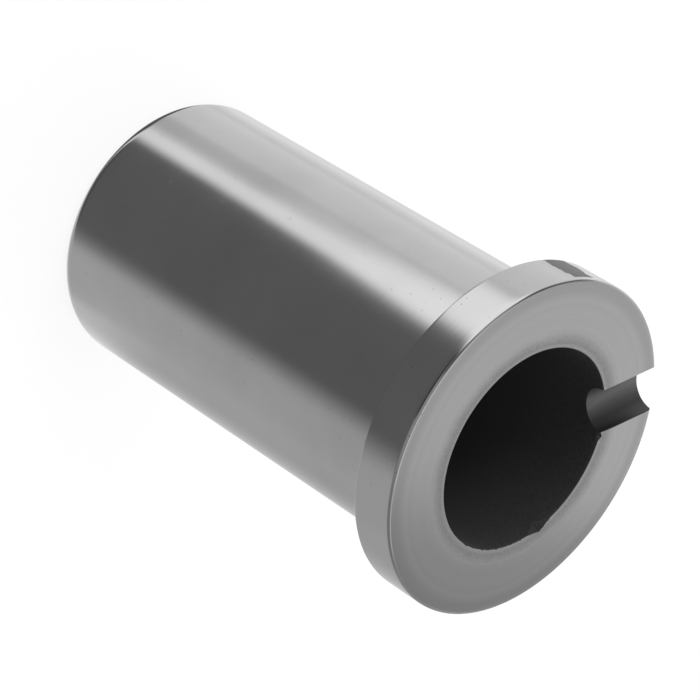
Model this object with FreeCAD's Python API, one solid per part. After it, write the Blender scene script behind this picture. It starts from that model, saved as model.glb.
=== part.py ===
# A small graphite crucible for an electric melting furnace, turned and bored from one bar.
# A plain round body carries a thicker collar at its mouth. The collar hangs on the furnace's top
# ring, and the metal is poured through a half-round groove across it. The bore is blind, with a
# rounded floor. Sizes are millimetres. The origin is the centre of the base, +Z runs up the axis
# to the mouth, and the groove leaves the bore along +X.

import FreeCAD, Part

import math
import os

from FreeCAD import Vector

# bore, which sets how much metal the crucible melts
bore_diameter = 34.8
floor_thickness = 9.0
floor_corner_radius = 6.0

# body round the bore
overall_height = 88.0
wall_thickness = 6.1
base_edge_radius = 2.5

# collar round the mouth, its seat underneath and the root where it leaves the body
collar_height = 7.75
collar_overhang = 5.5
collar_rim_radius = 0.5
collar_seat_bevel = 0.4
collar_root_radius = 0.8

# face of the mouth, which eases off near the bore and ends in a small bevel
mouth_ease_width = 1.9
mouth_ease_drop = 0.1
mouth_bevel = 0.2

# pouring groove, its axis in the face of the mouth and a little to one side of the centre
groove_width = 8.0
groove_offset = 0.4

# chip broken out of the bore's edge: where it lies round the bore in degrees from the groove,
# how long it is along the edge, how far it bites into the face and how far down the wall it runs
rim_chip_angle = -73.8
rim_chip_length = 5.0
rim_chip_bite = 0.45
rim_chip_depth = 1.1

# smaller chip, where the edge meets the groove
groove_chip_angle = -14.4
groove_chip_length = 1.9
groove_chip_bite = 0.6
groove_chip_depth = 0.9


def at(radius, height):
    """A point of the half section, on the groove's side of the axis."""
    return Vector(radius, 0, height)


def line(start, end):
    return Part.LineSegment(start, end).toShape()


def quarter(start, end, centre):
    """The quarter circle from start to end round centre."""
    radius = (start - centre).Length
    outward = (start - centre) + (end - centre)
    return Part.Arc(start, centre + outward.normalize() * radius, end).toShape()


def outside(body, collar, seat):
    """The outer half of the section: base, body, root, seat and collar, up to the face."""
    base_end = at(body - base_edge_radius, 0)
    body_start = at(body, base_edge_radius)
    base_centre = at(body - base_edge_radius, base_edge_radius)

    body_end = at(body, seat - collar_root_radius)
    seat_start = at(body + collar_root_radius, seat)
    root_centre = at(body + collar_root_radius, seat - collar_root_radius)

    seat_end = at(collar - collar_seat_bevel, seat)
    collar_start = at(collar, seat + collar_seat_bevel)
    collar_end = at(collar, overall_height - collar_rim_radius)
    face_start = at(collar - collar_rim_radius, overall_height)
    rim_centre = at(collar - collar_rim_radius, overall_height - collar_rim_radius)

    return [
        line(at(0, 0), base_end),
        quarter(base_end, body_start, base_centre),
        line(body_start, body_end),
        quarter(body_end, seat_start, root_centre),
        line(seat_start, seat_end),
        line(seat_end, collar_start),
        line(collar_start, collar_end),
        quarter(collar_end, face_start, rim_centre),
    ]


def inside(bore, collar):
    """The inner half of the section: face, ease, bevel, wall and rounded floor, down to the axis."""
    bevel_top = overall_height - mouth_ease_drop
    face_start = at(collar - collar_rim_radius, overall_height)
    face_end = at(bore + mouth_bevel + mouth_ease_width, overall_height)
    bevel_start = at(bore + mouth_bevel, bevel_top)
    wall_start = at(bore, bevel_top - mouth_bevel)

    wall_end = at(bore, floor_thickness + floor_corner_radius)
    floor_start = at(bore - floor_corner_radius, floor_thickness)
    corner_centre = at(bore - floor_corner_radius, floor_thickness + floor_corner_radius)

    return [
        line(face_start, face_end),
        line(face_end, bevel_start),
        line(bevel_start, wall_start),
        line(wall_start, wall_end),
        quarter(wall_end, floor_start, corner_centre),
        line(floor_start, at(0, floor_thickness)),
        line(at(0, floor_thickness), at(0, 0)),
    ]


def turned_blank():
    """The half section, turned once about the axis."""
    bore = bore_diameter / 2
    body = bore + wall_thickness
    collar = body + collar_overhang
    seat = overall_height - collar_height
    outline = Part.Wire(outside(body, collar, seat) + inside(bore, collar))
    return Part.Face(outline).revolve(Vector(0, 0, 0), Vector(0, 0, 1), 360)


def pouring_groove():
    """A round bar lying in the face of the mouth, from over the bore out past the collar."""
    collar_diameter = bore_diameter + 2 * wall_thickness + 2 * collar_overhang
    start = Vector(0, groove_offset, overall_height)
    return Part.makeCylinder(groove_width / 2, collar_diameter, start, Vector(1, 0, 0))


def chip(angle, length, bite, depth):
    """The piece that broke away at the bore's edge. Its two flat sides meet in one line, which
    slopes from the face, at bite outside the bore, to the wall at the given depth."""
    bore = bore_diameter / 2
    half_turn = length / bore_diameter
    tip = Vector(bore + bite, 0, overall_height)
    side = Vector(bore * math.cos(half_turn), bore * math.sin(half_turn), overall_height)
    other_side = Vector(side.x, -side.y, side.z)
    axis = Vector(0, 0, overall_height)
    slope = Vector(bite, 0, depth)

    section = Part.Face(Part.makePolygon([tip, side, axis, other_side, tip]))
    section.translate(slope * -2)
    piece = section.extrude(slope * 3)
    piece.rotate(Vector(0, 0, 0), Vector(0, 0, 1), angle)
    return piece


def crucible():
    cuts = [
        pouring_groove(),
        chip(rim_chip_angle, rim_chip_length, rim_chip_bite, rim_chip_depth),
        chip(groove_chip_angle, groove_chip_length, groove_chip_bite, groove_chip_depth),
    ]
    return turned_blank().cut(cuts)


def write(name, shape):
    """Writes one piece to its own file."""
    shape.exportStep(os.path.join("parts", name + ".step"))


os.makedirs("parts", exist_ok=True)
write("crucible", crucible())
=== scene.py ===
import bpy, bmesh, math, random
from mathutils import Matrix, Vector, noise


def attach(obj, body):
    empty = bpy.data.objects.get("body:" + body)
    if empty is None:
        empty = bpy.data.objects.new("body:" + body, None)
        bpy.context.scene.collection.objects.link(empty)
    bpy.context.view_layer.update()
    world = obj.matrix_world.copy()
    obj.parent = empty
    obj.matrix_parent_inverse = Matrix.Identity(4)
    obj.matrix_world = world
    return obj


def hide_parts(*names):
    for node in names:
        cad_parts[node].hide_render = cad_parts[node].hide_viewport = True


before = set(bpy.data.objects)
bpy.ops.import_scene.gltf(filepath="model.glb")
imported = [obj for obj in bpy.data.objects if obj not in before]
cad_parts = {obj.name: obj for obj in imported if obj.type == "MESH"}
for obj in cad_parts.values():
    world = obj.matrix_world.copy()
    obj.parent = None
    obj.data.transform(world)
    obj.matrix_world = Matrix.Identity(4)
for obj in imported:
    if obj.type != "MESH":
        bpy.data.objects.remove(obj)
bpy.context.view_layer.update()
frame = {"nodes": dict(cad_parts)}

mm = 0.001              # shapes are drawn in millimetres and brought to metres at the end
print("solid loaded:", ", ".join(frame["nodes"]))


def linearColour(code):
    # sRGB hex, as a colour picker shows it, to the linear values that shaders work in
    parts = [int(code[i:i + 2], 16) / 255 for i in (1, 3, 5)]
    return tuple(p / 12.92 if p <= 0.04045 else ((p + 0.055) / 1.055) ** 2.4 for p in parts) + (1.0,)


def addNode(tree, kind, sockets=None, stops=None, **settings):
    # a new node with its settings; sockets takes values or other nodes' outputs by input name or number
    node = tree.nodes.new(kind)
    for name, value in settings.items():
        setattr(node, name, value)
    for name, value in (sockets or {}).items():
        if isinstance(value, bpy.types.NodeSocket):
            tree.links.new(value, node.inputs[name])
        else:
            node.inputs[name].default_value = value
    if stops:
        ramp = node.color_ramp
        while len(ramp.elements) < len(stops):
            ramp.elements.new(1.0)
        for element, (position, value) in zip(ramp.elements, stops):
            element.position = position
            element.color = linearColour(value) if isinstance(value, str) else (value, value, value, 1.0)
    return node


def newMaterial(name):
    # graphite shines much as a metal does; also gives the place on the piece that patterns read
    material = bpy.data.materials.new(name)
    material.use_nodes = True
    tree = material.node_tree
    shader = tree.nodes["Principled BSDF"]
    shader.inputs["Metallic"].default_value = 1.0
    place = addNode(tree, "ShaderNodeTexCoord").outputs["Object"]
    return material, tree, shader, place


def bandBetween(tree, value, low, high, soft, angle=False):
    # 1 between low and high and 0 outside them, with soft edges; an angle goes the shorter way round
    off = addNode(tree, "ShaderNodeMath", {0: value, 1: (low + high) / 2}, operation="SUBTRACT").outputs[0]
    if angle:
        off = addNode(tree, "ShaderNodeMath", {0: off, 1: math.pi, 2: -math.pi}, operation="WRAP").outputs[0]
    away = addNode(tree, "ShaderNodeMath", {0: off}, operation="ABSOLUTE").outputs[0]
    reach = (high - low) / 2
    return addNode(tree, "ShaderNodeMapRange", {"Value": away, "From Min": reach - soft / 2,
                   "From Max": reach + soft / 2, "To Min": 1.0, "To Max": 0.0},
                   interpolation_type="SMOOTHSTEP").outputs[0]


def polishedGraphite():
    # fine-grained pressed graphite, turned and then polished on the lathe: a dark grey mirror, a little
    # blurred, with the faintest rings round it, soft finger smudges and the odd open pore, and across the
    # collar one dull dark strip with crisp, nearly straight edges, a painted reflection of something dark
    look = {"dark": "#969696", "light": "#9b9b9b", "sheen": (0.115, 0.135), "smudgeSize": 14 * mm,
            "smudgeRange": (0.35, 0.65),
            # real marks are 0.05 mm apart, too fine to show
            "markPitch": 0.5 * mm, "markDepth": 0.0012 * mm,
            "pore": "#5a5a5a", "poreSpacing": 1.6 * mm, "poreShare": 0.07, "poreDepth": 0.02 * mm,
            # the painted reflection's arc, edge and wander are in degrees round from the groove
            "paintedDark": "#393939", "paintedReflectionSheen": 0.5, "paintedReflectionArc": (63.8, 73.8), "paintedReflectionEdge": 0.6,
            "paintedReflectionWander": 4.0, "paintedReflectionRagged": 3 * mm, "paintedReflectionFoot": 80.2 * mm, "paintedReflectionTop": 87.0 * mm}
    material, tree, shader, place = newMaterial("polishedGraphite")
    x, y, height = addNode(tree, "ShaderNodeSeparateXYZ", {"Vector": place}).outputs
    low, high = look["smudgeRange"]
    smudge = addNode(tree, "ShaderNodeTexNoise", {"Vector": place, "Scale": 1 / look["smudgeSize"],
                     "Detail": 3.0, "Roughness": 0.5}).outputs["Fac"]
    colour = addNode(tree, "ShaderNodeValToRGB", {"Fac": smudge},
                     [(low, look["dark"]), (high, look["light"])]).outputs["Color"]
    sheen = addNode(tree, "ShaderNodeMapRange", {"Value": smudge, "From Min": low, "From Max": high,
                    "To Min": look["sheen"][0], "To Max": look["sheen"][1]}).outputs[0]

    pores = addNode(tree, "ShaderNodeTexVoronoi", {"Vector": place, "Scale": 1 / look["poreSpacing"]})
    pore = addNode(tree, "ShaderNodeValToRGB", {"Fac": pores.outputs["Distance"]},
                   [(look["poreShare"] / 2, 1.0), (look["poreShare"], 0.0)]).outputs["Color"]
    colour = addNode(tree, "ShaderNodeMix", {0: pore, 6: colour, 7: linearColour(look["pore"])},
                     data_type="RGBA").outputs[2]

    # painted reflection: across the collar a dull dark strip, darker, rougher and less metallic, stands in
    # for a dark thing mirrored there
    turn = addNode(tree, "ShaderNodeMath", {0: y, 1: x}, operation="ARCTAN2").outputs[0]
    wander = addNode(tree, "ShaderNodeTexNoise", {"Vector": place,
                     "Scale": 1 / look["paintedReflectionRagged"]}).outputs["Fac"]
    turn = addNode(tree, "ShaderNodeMath", {0: wander, 1: math.radians(look["paintedReflectionWander"]), 2: turn},
                   operation="MULTIPLY_ADD").outputs[0]
    start, end = (math.radians(side + look["paintedReflectionWander"] / 2) for side in look["paintedReflectionArc"])
    strip = bandBetween(tree, turn, start, end, math.radians(look["paintedReflectionEdge"]))
    onCollar = addNode(tree, "ShaderNodeMath", {0: height, 1: (look["paintedReflectionTop"] + look["paintedReflectionFoot"]) / 2,
                       2: (look["paintedReflectionTop"] - look["paintedReflectionFoot"]) / 2}, operation="COMPARE").outputs[0]
    paintedDark = addNode(tree, "ShaderNodeMath", {0: strip, 1: onCollar}, operation="MULTIPLY").outputs[0]
    colour = addNode(tree, "ShaderNodeMix", {0: paintedDark, 6: colour, 7: linearColour(look["paintedDark"])},
                     data_type="RGBA").outputs[2]
    sheen = addNode(tree, "ShaderNodeMix", {0: paintedDark, 2: sheen, 3: look["paintedReflectionSheen"]}).outputs[0]
    clearOfPaintedDark = addNode(tree, "ShaderNodeMath", {0: 1.0, 1: paintedDark}, operation="SUBTRACT").outputs[0]
    tree.links.new(colour, shader.inputs["Base Color"])
    tree.links.new(sheen, shader.inputs["Roughness"])
    tree.links.new(clearOfPaintedDark, shader.inputs["Metallic"])

    rings = addNode(tree, "ShaderNodeTexNoise", {"W": height, "Scale": 1 / look["markPitch"], "Detail": 2.0},
                    noise_dimensions="1D").outputs["Fac"]
    cut = addNode(tree, "ShaderNodeBump", {"Height": rings, "Distance": look["markDepth"]})
    pitted = addNode(tree, "ShaderNodeBump", {"Height": pore, "Distance": look["poreDepth"],
                     "Normal": cut.outputs[0]}, invert=True)
    tree.links.new(pitted.outputs[0], shader.inputs["Normal"])
    return material


def facedGraphite():
    # the mouth's face, turned across and only lightly polished: a broader sheen with rings round the
    # bore, painted darker towards the rim as painted shade, and beside the bore, where the face eases off
    # and hot metal has run, a dark granular band with a burnished edge
    look = {"dark": "#969696", "light": "#9b9b9b", "sheen": 0.22, "ringPitch": 1.1 * mm,
            "ringDepth": 0.0012 * mm,
            "rimShade": "#8f8f8f", "rimStart": 25.6 * mm, "rimEnd": 27.4 * mm,
            "bandDark": "#787878", "bandStart": 18.9 * mm, "bandEnd": 21.8 * mm, "bandWander": 1.2 * mm,
            "wanderSize": 5 * mm, "bandDullness": 0.25, "grain": 0.3 * mm, "grainDepth": 0.03 * mm,
            "edgeStart": 17.9 * mm, "edgeEnd": 18.25 * mm, "edgeShare": 0.7}
    material, tree, shader, place = newMaterial("facedGraphite")
    flat = addNode(tree, "ShaderNodeVectorMath", {0: place, 1: (1, 1, 0)}, operation="MULTIPLY").outputs[0]
    radius = addNode(tree, "ShaderNodeVectorMath", {0: flat}, operation="LENGTH").outputs["Value"]
    rings = addNode(tree, "ShaderNodeTexNoise", {"W": radius, "Scale": 1 / look["ringPitch"], "Detail": 3.0},
                    noise_dimensions="1D").outputs["Fac"]
    colour = addNode(tree, "ShaderNodeValToRGB", {"Fac": rings},
                     [(0.25, look["dark"]), (0.75, look["light"])]).outputs["Color"]
    # painted shade: the face's colour darkens towards the rim
    nearRim = addNode(tree, "ShaderNodeMapRange", {"Value": radius, "From Min": look["rimStart"],
                      "From Max": look["rimEnd"]}, interpolation_type="SMOOTHSTEP").outputs[0]
    colour = addNode(tree, "ShaderNodeMix", {0: nearRim, 6: colour, 7: linearColour(look["rimShade"])},
                     data_type="RGBA").outputs[2]

    wander = addNode(tree, "ShaderNodeTexNoise", {"Vector": place, "Scale": 1 / look["wanderSize"],
                     "Detail": 2.0}).outputs["Fac"]
    shifted = addNode(tree, "ShaderNodeMath", {0: wander, 1: look["bandWander"], 2: radius},
                      operation="MULTIPLY_ADD").outputs[0]
    band = addNode(tree, "ShaderNodeMapRange", {"Value": shifted, "From Min": look["bandStart"],
                   "From Max": look["bandEnd"], "To Min": 1.0, "To Max": 0.0},
                   interpolation_type="SMOOTHSTEP").outputs[0]
    grain = addNode(tree, "ShaderNodeTexNoise", {"Vector": place, "Scale": 1 / look["grain"],
                    "Detail": 2.0}).outputs["Fac"]
    grained = addNode(tree, "ShaderNodeMapRange", {"Value": grain, "From Min": 0.3, "From Max": 0.7,
                      "To Min": 0.55, "To Max": 1.0}).outputs[0]
    burnished = addNode(tree, "ShaderNodeMapRange", {"Value": radius, "From Min": look["edgeStart"],
                        "From Max": look["edgeEnd"], "To Min": look["edgeShare"]}).outputs[0]
    amount = addNode(tree, "ShaderNodeMath", {0: band, 1: grained}, operation="MULTIPLY").outputs[0]
    amount = addNode(tree, "ShaderNodeMath", {0: amount, 1: burnished}, operation="MULTIPLY").outputs[0]
    colour = addNode(tree, "ShaderNodeMix", {0: amount, 6: colour, 7: linearColour(look["bandDark"])},
                     data_type="RGBA").outputs[2]
    sheen = addNode(tree, "ShaderNodeMath", {0: amount, 1: look["bandDullness"], 2: look["sheen"]},
                    operation="MULTIPLY_ADD").outputs[0]
    tree.links.new(colour, shader.inputs["Base Color"])
    tree.links.new(sheen, shader.inputs["Roughness"])

    cut = addNode(tree, "ShaderNodeBump", {"Height": rings, "Distance": look["ringDepth"]})
    rough = addNode(tree, "ShaderNodeMath", {0: grain, 1: amount}, operation="MULTIPLY").outputs[0]
    worn = addNode(tree, "ShaderNodeBump", {"Height": rough, "Distance": look["grainDepth"],
                   "Normal": cut.outputs[0]})
    tree.links.new(worn.outputs[0], shader.inputs["Normal"])
    return material


def boredGraphite():
    # the bore as the boring bar left it, unpolished and open-grained, its colour painted dark as painted
    # shade and darkest towards the mouth: dull and nearly black inside
    look = {"dark": "#525252", "light": "#606060", "deep": "#7e7e7e", "sheen": 0.80,
            "paintedShadeFrom": 60 * mm, "paintedShadeTo": 86 * mm, "markPitch": 0.4 * mm, "markDepth": 0.01 * mm,
            "grain": 0.5 * mm, "grainDepth": 0.02 * mm}
    material, tree, shader, place = newMaterial("boredGraphite")
    height = addNode(tree, "ShaderNodeSeparateXYZ", {"Vector": place}).outputs["Z"]
    marks = addNode(tree, "ShaderNodeTexNoise", {"W": height, "Scale": 1 / look["markPitch"], "Detail": 2.0},
                    noise_dimensions="1D").outputs["Fac"]
    grain = addNode(tree, "ShaderNodeTexNoise", {"Vector": place, "Scale": 1 / look["grain"],
                    "Detail": 3.0}).outputs["Fac"]
    # painted shade: the bore's colours are dark, and darken further from the deep part up to the mouth
    colour = addNode(tree, "ShaderNodeValToRGB", {"Fac": grain},
                     [(0.3, look["dark"]), (0.7, look["light"])]).outputs["Color"]
    paintedDark = addNode(tree, "ShaderNodeMapRange", {"Value": height, "From Min": look["paintedShadeFrom"],
                   "From Max": look["paintedShadeTo"]}).outputs[0]
    colour = addNode(tree, "ShaderNodeMix", {0: paintedDark, 6: linearColour(look["deep"]), 7: colour},
                     data_type="RGBA").outputs[2]
    tree.links.new(colour, shader.inputs["Base Color"])
    shader.inputs["Roughness"].default_value = look["sheen"]
    cut = addNode(tree, "ShaderNodeBump", {"Height": marks, "Distance": look["markDepth"]})
    grained = addNode(tree, "ShaderNodeBump", {"Height": grain, "Distance": look["grainDepth"],
                      "Normal": cut.outputs[0]})
    tree.links.new(grained.outputs[0], shader.inputs["Normal"])
    return material


def milledGraphite():
    # the groove, cut across with a round-nosed mill: satin with fine lines along the cut, painted darker
    # up its sides than along its floor as painted shade
    look = {"dark": "#626262", "light": "#6a6a6a", "side": "#3b3b3b", "sheen": 0.50,
            "floorTop": 84.1 * mm, "sideFoot": 85.8 * mm,
            # the lines are drawn out along the groove, by the stretch
            "linePitch": 0.25 * mm, "lineStretch": 0.06, "lineDepth": 0.002 * mm}
    material, tree, shader, place = newMaterial("milledGraphite")
    stretched = addNode(tree, "ShaderNodeVectorMath", {0: place, 1: (look["lineStretch"], 1, 1)},
                        operation="MULTIPLY").outputs[0]
    lines = addNode(tree, "ShaderNodeTexNoise", {"Vector": stretched, "Scale": 1 / look["linePitch"],
                    "Detail": 2.0}).outputs["Fac"]
    colour = addNode(tree, "ShaderNodeValToRGB", {"Fac": lines},
                     [(0.3, look["dark"]), (0.7, look["light"])]).outputs["Color"]
    height = addNode(tree, "ShaderNodeSeparateXYZ", {"Vector": place}).outputs["Z"]
    # painted shade: the colour darkens up the groove's sides
    upSideShade = addNode(tree, "ShaderNodeMapRange", {"Value": height, "From Min": look["floorTop"],
                     "From Max": look["sideFoot"]}, interpolation_type="SMOOTHSTEP").outputs[0]
    colour = addNode(tree, "ShaderNodeMix", {0: upSideShade, 6: colour, 7: linearColour(look["side"])},
                     data_type="RGBA").outputs[2]
    tree.links.new(colour, shader.inputs["Base Color"])
    shader.inputs["Roughness"].default_value = look["sheen"]
    cut = addNode(tree, "ShaderNodeBump", {"Height": lines, "Distance": look["lineDepth"]})
    tree.links.new(cut.outputs[0], shader.inputs["Normal"])
    return material


def brokenGraphite():
    # where the edge has chipped: bare grains, quite dull, their colour painted dark as painted shade
    look = {"dark": "#404040", "light": "#5e5e5e", "sheen": 0.75, "grain": 0.18 * mm,
            "grainDepth": 0.05 * mm}
    material, tree, shader, place = newMaterial("brokenGraphite")
    grain = addNode(tree, "ShaderNodeTexNoise", {"Vector": place, "Scale": 1 / look["grain"],
                    "Detail": 3.0}).outputs["Fac"]
    colour = addNode(tree, "ShaderNodeValToRGB", {"Fac": grain},
                     [(0.3, look["dark"]), (0.7, look["light"])]).outputs["Color"]
    tree.links.new(colour, shader.inputs["Base Color"])
    shader.inputs["Roughness"].default_value = look["sheen"]
    crumbs = addNode(tree, "ShaderNodeBump", {"Height": grain, "Distance": look["grainDepth"]})
    tree.links.new(crumbs.outputs[0], shader.inputs["Normal"])
    return material


finishes = {"polished": polishedGraphite(), "faced": facedGraphite(), "bored": boredGraphite(),
            "milled": milledGraphite(), "broken": brokenGraphite()}
finishOrder = list(finishes)
print("materials made:", ", ".join(finishes))


blank = {
    # the half section, from the base's centre round to the bore's floor: radius, height, and for a
    # rounded corner its radius and steps; the plain points beside a round keep the flats flat
    "section": [(0, 0), (20.6, 0), (23.5, 0, 2.5, 12), (23.5, 2.8), (23.5, 79.2),
                (23.5, 80.25, 0.8, 6), (24.5, 80.25), (28.4, 80.25), (29, 80.25, 0.18, 3), (29, 80.6),
                (29, 86.6), (29, 87.1, 0.3, 4), (28.97, 87.96, 0.46, 7), (28.1, 88, 0.35, 4), (27.6, 88),
                (21.2, 88), (19.5, 88, 1.5, 6), (17.8, 87.91), (17.52, 87.9, 0.06, 3), (17.45, 87.75),
                (17.4, 87.4), (17.4, 82), (17.4, 15.2), (17.4, 9, 6.0, 12), (11.2, 9), (0, 9)],
    "steps": 288, "mouth": 88, "bore": 17.4,
    "crease": 26,       # degrees; a sharper edge between two faces stays sharp to the eye
    # which faces the boring bar and the facing tool left; all the rest is polished
    "boredWithin": 17.48, "boredAbove": 8.9, "facedWithin": 28.5, "facedAbove": 87.85,
}

# the groove runs from start to end along +X, and its cutter reaches over the face
groove = {"width": 8.0, "offset": 0.4, "edgeBreak": 0.12, "start": 8.0, "end": 34.0, "over": 2.0, "steps": 40}

chips = {
    # each broken place: degrees round the bore from the groove, length along the edge, how far it bites
    # into the face and how far down the wall it runs
    "broken": [(-74.1, 6.7, 0.90, 1.8), (-14.2, 2.4, 0.72, 0.8)], "rough": 0.1, "roughCuts": 7,
    # the finest nicks, most of them on the arc beside the large chip, and shallower strays all round
    "nicks": 28, "nickArc": (-158, -86), "nickLength": (0.5, 1.6), "nickBite": (0.08, 0.26),
    "strays": 16, "strayBite": 0.4, "ragged": 0.22, "sunk": 0.3, "seed": 7,
}


def meshObject(name, bm):
    mesh = bpy.data.meshes.new(name)
    bm.to_mesh(mesh)
    bm.free()
    thing = bpy.data.objects.new(name, mesh)
    bpy.context.scene.collection.objects.link(thing)
    for finish in finishes.values():
        mesh.materials.append(finish)
    return thing


def turnedBlank():
    bm = bmesh.new()
    corners = [bm.verts.new((point[0], 0, point[1])) for point in blank["section"]]
    for start, end in zip(corners, corners[1:]):
        bm.edges.new((start, end))
    for corner, point in zip(corners, blank["section"]):
        if len(point) > 2:
            bmesh.ops.bevel(bm, geom=[corner], offset=point[2], offset_type="OFFSET", segments=point[3],
                            profile=0.5, affect="VERTICES", material=-1)
    bmesh.ops.spin(bm, geom=bm.verts[:] + bm.edges[:], cent=(0, 0, 0), axis=(0, 0, 1),
                   angle=2 * math.pi, steps=blank["steps"], use_merge=True)
    bmesh.ops.remove_doubles(bm, verts=bm.verts, dist=0.001)
    bmesh.ops.recalc_face_normals(bm, faces=bm.faces)
    for face in bm.faces:
        centre = face.calc_center_median()
        radius = math.hypot(centre.x, centre.y)
        if radius < blank["boredWithin"] and centre.z > blank["boredAbove"]:
            finish = "bored"
        elif radius < blank["facedWithin"] and centre.z > blank["facedAbove"]:
            finish = "faced"
        else:
            finish = "polished"
        face.material_index = finishOrder.index(finish)
    return meshObject("turnedCrucible", bm)


def grooveCutter():
    # a round-nosed bar, flared above the face so that it also breaks the groove's two long edges
    bm = bmesh.new()
    radius, flare, over = groove["width"] / 2, groove["edgeBreak"], groove["over"]
    rim = [(radius + over - flare, over), (radius, -flare)]
    angles = [math.pi * i / groove["steps"] for i in range(1, groove["steps"])]
    arc = [(radius * math.cos(angle), -radius * math.sin(angle)) for angle in angles]
    outline = rim + arc + [(-y, z) for y, z in reversed(rim)]
    ring = [bm.verts.new((groove["start"], y + groove["offset"], z + blank["mouth"])) for y, z in outline]
    bm.faces.new(ring)
    grown = bmesh.ops.extrude_face_region(bm, geom=bm.faces[:])
    moved = [item for item in grown["geom"] if isinstance(item, bmesh.types.BMVert)]
    bmesh.ops.translate(bm, verts=moved, vec=(groove["end"] - groove["start"], 0, 0))
    bmesh.ops.recalc_face_normals(bm, faces=bm.faces)
    for face in bm.faces:
        face.material_index = finishOrder.index("milled")
    return meshObject("grooveCutter", bm)


def chipBlock(bm, angle, length, bite, depth):
    # a kite-shaped block on a slope, roughened: its two flat sides meet where the chip bites deepest
    bore, over, under = blank["bore"], 0.4, depth * 1.6
    slope, sag = bite / depth, (length / 2) ** 2 / (2 * bore)
    kite = [(bite, 0), (-sag, length / 2), (-bore / 4, 0), (-sag, -length / 2)]
    for vert in bm.verts:
        vert.tag = True     # the blocks made before this one
    top = [bm.verts.new((bore + x + slope * over, y, over)) for x, y in kite]
    foot = [bm.verts.new((bore + x - slope * under, y, -under)) for x, y in kite]
    faces = [bm.faces.new(top), bm.faces.new(reversed(foot))]
    for i in range(4):
        j = (i + 1) % 4
        faces.append(bm.faces.new((top[j], top[i], foot[i], foot[j])))
    edges = list({edge for face in faces for edge in face.edges})
    bmesh.ops.subdivide_edges(bm, edges=edges, cuts=chips["roughCuts"], use_grid_fill=True)
    made = [vert for vert in bm.verts if not vert.tag]
    for vert in made:
        rough = noise.fractal(vert.co * 1.6 + Vector((angle, 0, 0)), 0.9, 2.1, 4)
        vert.co.x += chips["rough"] * rough
    place = Matrix.Translation((0, 0, blank["mouth"])) @ Matrix.Rotation(math.radians(angle), 4, "Z")
    bmesh.ops.transform(bm, matrix=place, verts=made)


def chipCutter():
    # a block for each broken place, and a ragged flattened ball for every nick, half in the bore's edge
    draw = random.Random(chips["seed"])
    bm = bmesh.new()
    for plan in chips["broken"]:
        chipBlock(bm, *plan)
    rows = [(chips["nickArc"], chips["nicks"], 1.0), ((0, 360), chips["strays"], chips["strayBite"])]
    for arc, count, share in rows:
        for i in range(count):
            angle, length = draw.uniform(*arc), draw.uniform(*chips["nickLength"])
            bite = draw.uniform(*chips["nickBite"]) * share
            depth = bite * draw.uniform(1, 2.5)
            ball = bmesh.ops.create_icosphere(bm, subdivisions=2, radius=1.0)["verts"]
            for vert in ball:
                rough = noise.fractal(vert.co * 1.7 + Vector((angle, length, 0)), 0.8, 2.2, 4)
                vert.co *= 1 + chips["ragged"] * rough
            size = Matrix.Diagonal((bite + chips["sunk"], length / 2, depth + 0.1, 1))
            edge = Matrix.Translation((blank["bore"] - chips["sunk"], 0, blank["mouth"]))
            place = Matrix.Rotation(math.radians(angle), 4, "Z") @ edge
            bmesh.ops.transform(bm, matrix=place @ size, verts=ball)
    bmesh.ops.recalc_face_normals(bm, faces=bm.faces)
    for face in bm.faces:
        face.material_index = finishOrder.index("broken")
    return meshObject("chipCutter", bm)


def cutAway(piece, tool):
    # one applied Boolean; the tool's own finish stays on the faces that it leaves
    cut = piece.modifiers.new("cut", "BOOLEAN")
    cut.operation, cut.solver, cut.object = "DIFFERENCE", "EXACT", tool
    cut.use_self = True
    cut.material_mode = "TRANSFER"
    graph = bpy.context.evaluated_depsgraph_get()
    finished = bpy.data.meshes.new_from_object(piece.evaluated_get(graph), depsgraph=graph)
    piece.modifiers.clear()
    old, piece.data = piece.data, finished
    finished.name = piece.name
    bpy.data.meshes.remove(old)
    bpy.data.objects.remove(tool)


piece = turnedBlank()
cutAway(piece, grooveCutter())
cutAway(piece, chipCutter())
bm = bmesh.new()
bm.from_mesh(piece.data)
bmesh.ops.remove_doubles(bm, verts=bm.verts, dist=0.0005)
bmesh.ops.scale(bm, vec=(mm, mm, mm), verts=bm.verts)
for face in bm.faces:
    face.smooth = True
for edge in bm.edges:
    oneFinish = len({face.material_index for face in edge.link_faces}) == 1
    edge.smooth = edge.is_manifold and oneFinish and edge.calc_face_angle(0) < math.radians(blank["crease"])
openEdges = sum(not edge.is_manifold for edge in bm.edges)
bm.to_mesh(piece.data)
bm.free()
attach(piece, "root")
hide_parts("crucible")
print("crucible cut:", len(piece.data.polygons), "faces,", openEdges, "open edges")


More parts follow.
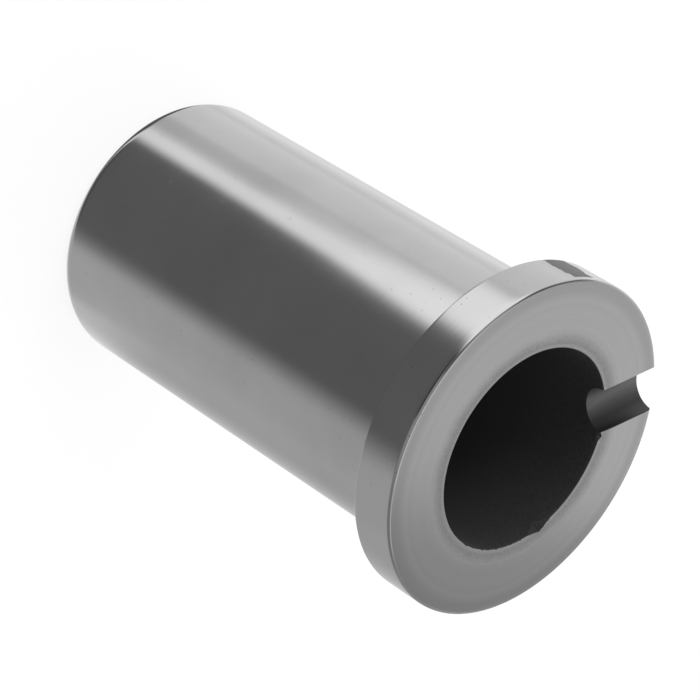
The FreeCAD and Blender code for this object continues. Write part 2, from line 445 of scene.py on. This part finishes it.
room = {
    # what stands round the table, as the polished crucible mirrors it, from plain walls to panels that lie
    # over the ones before: the bearings it spans in degrees from the groove towards +Y, the levels it
    # spans as sines of the slope, how bright it is (1 is white), and how soft its edges are across and up
    "plain": 0.74,
    "panels": [
        ("front wall", -41, -15, -2.0, 2.0, 0.92, 6, 0),
        ("front window", -18, 8, -2.0, 2.0, 1.20, 12, 0),
        ("bright window", 8, 54, -2.0, 2.0, 1.40, 12, 0),
        ("white door", 54, 80, -2.0, 2.0, 1.42, 12, 0),
        ("dark room", 70, 230, -2.0, 2.0, 0.26, 8, 0),
        ("side wall", 190, 257, -2.0, 2.0, 0.88, 28, 0),
        ("table edge", 240, 322, -2.0, -0.668, 1.26, 26, 0.022),
        ("side table edge", 196, 244, -2.0, -0.664, 1.00, 16, 0.024),
        ("door foot", 54, 71, -2.0, -0.645, 1.00, 10, 0.09),
        ("under the table", -24, 188, -2.0, -0.77, 0.20, 20, 0.06),
        ("upper walls", -60, 340, -0.32, 2.0, 0.60, 0, 0.16),
        ("tall window", -14, 60, -0.51, 0.20, 1.55, 12, 0.34),
        ("dark post", 11, 25, 0.05, 0.60, 0.30, 4, 0.20),
        ("lit board", 57, 106, -0.50, 0.62, 2.20, 12, 0.30),
        ("dark doorway", 112, 156, -0.52, 0.34, 0.11, 8, 0.14),
        ("over the door", 92, 124, 0.56, 0.97, 0.10, 8, 0.10),
        ("picture", 157, 192, -0.34, 0.05, 0.36, 12, 0.20),
        ("dark shelf", 194, 256, 0.00, 0.78, 0.44, 14, 0.20),
        ("far window", 262, 335, 0.68, 0.97, 1.05, 12, 0.05),
        ("lamp beyond", -64, -24, 0.28, 0.50, 1.00, 16, 0.08),
        ("mouth's own wall", -58, -24, 0.54, 0.655, 0.47, 12, 0.06),
        ("dark beam", -16, 42, 0.52, 0.86, 0.10, 12, 0.14),
        ("ceiling", -60, 340, 0.95, 2.0, 0.60, 0, 0.04)],
    # the strip light stands upright, and is wider and brighter towards its top
    "strip": {"bearing": (79.4, 79.6), "halfWidth": (8.4, 19.5), "strength": (1.86, 2.28), "soft": 12,
              "foot": -0.69, "top": -0.598, "taper": 3.0, "end": (-0.45, -0.20)},
}

# in metres and degrees; edge is how far its near side lies from the line that the mouth mirrors
softBox = {"distance": 0.16, "width": 0.20, "height": 0.26, "edge": -0.0176, "lean": 24.4,
           "radiance": 0.48, "bearing": -41.6, "rise": 38.0}

# half its side in metres, the light the paper gives by itself, and the grey that takes the shadow
floorLook = {"half": 4.0, "ownLight": 0.86, "shaded": 0.24}


def surroundings():
    world = bpy.data.worlds.new("studio")
    bpy.context.scene.world = world
    world.use_nodes = True
    tree = world.node_tree
    tree.nodes.clear()
    direction = addNode(tree, "ShaderNodeTexCoord").outputs["Generated"]
    parts = addNode(tree, "ShaderNodeSeparateXYZ", {"Vector": direction}).outputs
    bearing = addNode(tree, "ShaderNodeMath", {0: parts["Y"], 1: parts["X"]}, operation="ARCTAN2").outputs[0]
    lit = addNode(tree, "ShaderNodeRGB").outputs[0]
    lit.default_value = (room["plain"],) * 3 + (1,)
    for name, start, end, low, high, light, across, up in room["panels"]:
        share = 1.0
        if across:
            share = bandBetween(tree, bearing, math.radians(start), math.radians(end),
                                math.radians(across), angle=True)
        if up:
            level = bandBetween(tree, parts["Z"], low, high, up)
            share = addNode(tree, "ShaderNodeMath", {0: share, 1: level}, operation="MULTIPLY").outputs[0]
        lit = addNode(tree, "ShaderNodeMix", {0: share, 6: lit, 7: (light,) * 3 + (1,)},
                      data_type="RGBA", label=name).outputs[2]
    strip = room["strip"]
    level = addNode(tree, "ShaderNodeMapRange", {"Value": parts["Z"], "From Min": strip["foot"],
                    "From Max": strip["top"]}).outputs[0]
    level = addNode(tree, "ShaderNodeMath", {0: level, 1: strip["taper"]}, operation="POWER").outputs[0]
    reach = addNode(tree, "ShaderNodeMapRange", {"Value": level,
                    "To Min": math.radians(strip["halfWidth"][0]),
                    "To Max": math.radians(strip["halfWidth"][1])}).outputs[0]
    middle = addNode(tree, "ShaderNodeMapRange", {"Value": level,
                     "To Min": math.radians(strip["bearing"][0]),
                     "To Max": math.radians(strip["bearing"][1])}).outputs[0]
    glow = addNode(tree, "ShaderNodeMapRange", {"Value": level, "To Min": strip["strength"][0],
                   "To Max": strip["strength"][1]}).outputs[0]
    off = addNode(tree, "ShaderNodeMath", {0: bearing, 1: middle}, operation="SUBTRACT").outputs[0]
    off = addNode(tree, "ShaderNodeMath", {0: off, 1: math.pi, 2: -math.pi}, operation="WRAP").outputs[0]
    away = addNode(tree, "ShaderNodeMath", {0: off}, operation="ABSOLUTE").outputs[0]
    past = addNode(tree, "ShaderNodeMath", {0: away, 1: reach}, operation="SUBTRACT").outputs[0]
    soft = math.radians(strip["soft"])
    bright = addNode(tree, "ShaderNodeMapRange", {"Value": past, "From Min": -soft / 2,
                     "From Max": soft / 2, "To Min": 1.0, "To Max": 0.0},
                     interpolation_type="SMOOTHSTEP").outputs[0]
    ends = addNode(tree, "ShaderNodeMapRange", {"Value": parts["Z"], "From Min": strip["end"][0],
                   "From Max": strip["end"][1], "To Min": 1.0, "To Max": 0.0}).outputs[0]
    bright = addNode(tree, "ShaderNodeMath", {0: bright, 1: ends}, operation="MULTIPLY").outputs[0]
    lit = addNode(tree, "ShaderNodeMix", {0: bright, 6: lit, 7: glow}, data_type="RGBA").outputs[2]
    seen = addNode(tree, "ShaderNodeLightPath").outputs["Is Camera Ray"]
    shown = addNode(tree, "ShaderNodeMix", {0: seen, 6: lit, 7: (1, 1, 1, 1)}, data_type="RGBA").outputs[2]
    background = addNode(tree, "ShaderNodeBackground", {"Color": shown})
    output = addNode(tree, "ShaderNodeOutputWorld")
    tree.links.new(background.outputs[0], output.inputs["Surface"])


def whiteFloor():
    # seen as plain white paper, which still takes the crucible's soft shadow; the polished wall looks
    # past it, at the room
    bm = bmesh.new()
    bmesh.ops.create_grid(bm, x_segments=1, y_segments=1, size=floorLook["half"])
    mesh = bpy.data.meshes.new("floor")
    bm.to_mesh(mesh)
    bm.free()
    floor = bpy.data.objects.new("floor", mesh)
    bpy.context.scene.collection.objects.link(floor)
    paper = bpy.data.materials.new("whitePaper")
    paper.use_nodes = True
    tree = paper.node_tree
    tree.nodes.clear()
    shaded = addNode(tree, "ShaderNodeBsdfDiffuse", {"Color": (floorLook["shaded"],) * 3 + (1,)})
    own = addNode(tree, "ShaderNodeEmission", {"Color": (1, 1, 1, 1), "Strength": floorLook["ownLight"]})
    both = addNode(tree, "ShaderNodeAddShader", {0: shaded.outputs[0], 1: own.outputs[0]})
    output = addNode(tree, "ShaderNodeOutputMaterial")
    tree.links.new(both.outputs[0], output.inputs["Surface"])
    mesh.materials.append(paper)
    floor.visible_glossy = False
    floor.visible_shadow = False


def softBoxLight():
    # its near edge falls across the mirrored mouth, so the face darkens on one side
    bearing, rise, lean = (math.radians(softBox[name]) for name in ("bearing", "rise", "lean"))
    mouth = Vector((0, 0, blank["mouth"] * mm))
    towards = Vector((math.cos(rise) * math.cos(bearing), math.cos(rise) * math.sin(bearing), math.sin(rise)))
    level = Vector((-math.sin(bearing), math.cos(bearing), 0))
    aside = level * math.cos(lean) + towards.cross(level) * math.sin(lean)
    lamp = bpy.data.lights.new("softBox", "AREA")
    lamp.shape, lamp.size, lamp.size_y = "RECTANGLE", softBox["width"], softBox["height"]
    lamp.energy = softBox["radiance"] * math.pi * softBox["width"] * softBox["height"]
    light = bpy.data.objects.new("softBox", lamp)
    bpy.context.scene.collection.objects.link(light)
    axes = Matrix((aside, towards.cross(aside), towards)).transposed()
    centre = mouth + towards * softBox["distance"] + aside * (softBox["edge"] + softBox["width"] / 2)
    light.matrix_world = Matrix.Translation(centre) @ axes.to_4x4()
    light.visible_camera = False


surroundings()
whiteFloor()
softBoxLight()
print("studio lit")


# the camera looks down past the mouth, turned as the photograph is
view = {"target": (-0.942, -1.061, 48.106), "distance": 513.05, "bearing": 138.4, "rise": 38.046,
        "roll": 122.13, "lens": 161.569, "sensor": 36.0, "shift": (-0.0005, 0.0005)}
bearing, rise = math.radians(view["bearing"]), math.radians(view["rise"])
back = Vector((math.cos(rise) * math.cos(bearing), math.cos(rise) * math.sin(bearing), math.sin(rise)))
lens = bpy.data.cameras.new("camera")
lens.lens, lens.sensor_width, lens.clip_start = view["lens"], view["sensor"], 0.01
lens.shift_x, lens.shift_y = view["shift"]
camera = bpy.data.objects.new("camera", lens)
bpy.context.scene.collection.objects.link(camera)
camera.matrix_world = (Matrix.Translation((Vector(view["target"]) + back * view["distance"]) * mm)
                       @ back.to_track_quat("Z", "Y").to_matrix().to_4x4()
                       @ Matrix.Rotation(math.radians(view["roll"]), 4, "Z"))
bpy.context.scene.camera = camera
bpy.context.scene.view_settings.view_transform = "Standard"
print("camera set")
